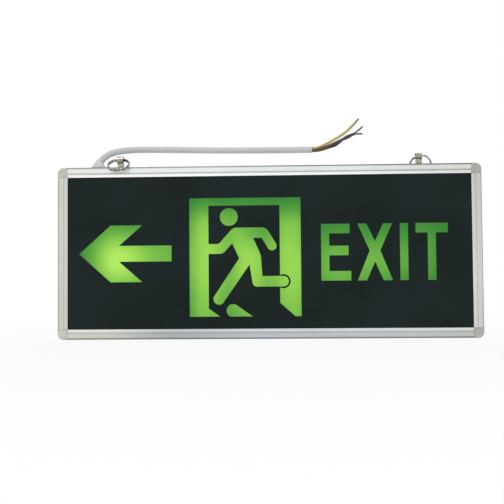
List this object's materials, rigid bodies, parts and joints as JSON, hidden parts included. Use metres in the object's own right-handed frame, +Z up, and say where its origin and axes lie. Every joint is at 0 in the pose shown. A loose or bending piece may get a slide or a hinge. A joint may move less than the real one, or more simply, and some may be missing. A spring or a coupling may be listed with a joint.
{
  "type": "emergency exit light",
  "caption": "Slim aluminium-framed emergency exit light with a green arrow, running figure and EXIT legend, hanging rings and a stripped supply cable.",
  "frame": {"origin": "middle of the bottom edge of the sign, half way through its depth", "axes": "+X to the right seen from the front, +Y to the back, +Z up; the legend faces -Y"},
  "size_m": [0.355, 0.0297, 0.1838],
  "materials": {
    "anodised": "satin natural anodised extrusion",
    "corner_grey": "fine-grained grey moulding",
    "mask_black": "smooth black screen film",
    "panel_green": "translucent green acrylic, lit from behind",
    "diffuser_white": "opal film",
    "plate_white": "white powder coat",
    "board_white": "white solder mask",
    "board_green": "green solder mask",
    "led_lens": "clear moulding over phosphor",
    "nylon": "natural nylon",
    "film_case": "dipped resin",
    "can": "sleeved can",
    "chip_black": "moulded epoxy",
    "fuse_body": "lacquered ceramic",
    "terminal_green": "moulded polyamide",
    "cell_blue": "shrink sleeve",
    "strap_steel": "zinc-plated strip",
    "plug_white": "moulded nylon",
    "button_white": "moulded button",
    "lamp_green": "tinted lens",
    "lamp_amber": "tinted lens",
    "lamp_red": "tinted lens",
    "gland_clear": "soft milky vinyl",
    "nickel": "nickel-plated spring steel",
    "hanger_steel": "nickel-plated strip",
    "jacket": "white-grey vinyl jacket",
    "insulation_yellow_green": "vinyl insulation",
    "insulation_brown": "vinyl insulation",
    "insulation_blue": "vinyl insulation",
    "copper": "bare copper strands"
  },
  "bodies": {
    "sign": {"amber_lamp": "lamp_amber", "back_plate": "plate_white", "battery_pack": "cell_blue", "battery_plug": "plug_white", "battery_strap": "strap_steel", "board_feet": "nylon", "bottom_rail": "anodised", "cable_gland": "gland_clear", "charge_controller": "chip_black", "control_board": "board_green", "core_blue": "insulation_blue", "core_brown": "insulation_brown", "core_yellow_green": "insulation_yellow_green", "corner_bottom_left": "corner_grey", "corner_bottom_right": "corner_grey", "corner_top_left": "corner_grey", "corner_top_right": "corner_grey", "diffuser_film": "diffuser_white", "driver_board": "board_green", "electrolytic_capacitor": "can", "film_capacitor": "film_case", "fuse_resistor": "fuse_body", "gland_nut": "nylon", "green_lamp": "lamp_green", "green_panel": "panel_green", "hanger_left": "hanger_steel", "hanger_right": "hanger_steel", "led_1": "led_lens", "led_2": "led_lens", "led_3": "led_lens", "led_4": "led_lens", "led_5": "led_lens", "led_6": "led_lens", "led_7": "led_lens", "led_board": "board_white", "left_rail": "anodised", "legend_mask": "mask_black", "rectifier": "chip_black", "red_lamp": "lamp_red", "right_rail": "anodised", "strand_blue": "copper", "strand_brown": "copper", "strand_yellow_green": "copper", "supply_cable": "jacket", "terminal_block": "terminal_green", "test_switch": "chip_black", "top_rail": "anodised"},
    "left_ring": {"ring_left": "nickel"},
    "right_ring": {"ring_right": "nickel"},
    "button": {"test_button": "button_white"}
  },
  "joints": [
    {"name": "left_ring_swing", "type": "hinge", "parent": "sign", "child": "left_ring", "pos_m": [-0.1255, -0.0008, 0.15215], "axis": [-1, 0, 0], "range_deg": [0, 96]},
    {"name": "right_ring_swing", "type": "hinge", "parent": "sign", "child": "right_ring", "pos_m": [0.128, 0.00413, 0.15302], "axis": [1, 0, 0], "range_deg": [0, 262]},
    {"name": "test_button_press", "type": "slide", "parent": "sign", "child": "button", "axis": [0, 0, 1], "range_m": [0, 0.001], "stiffness_N_per_m": 600, "springref_m": -0.0005}
  ]
}
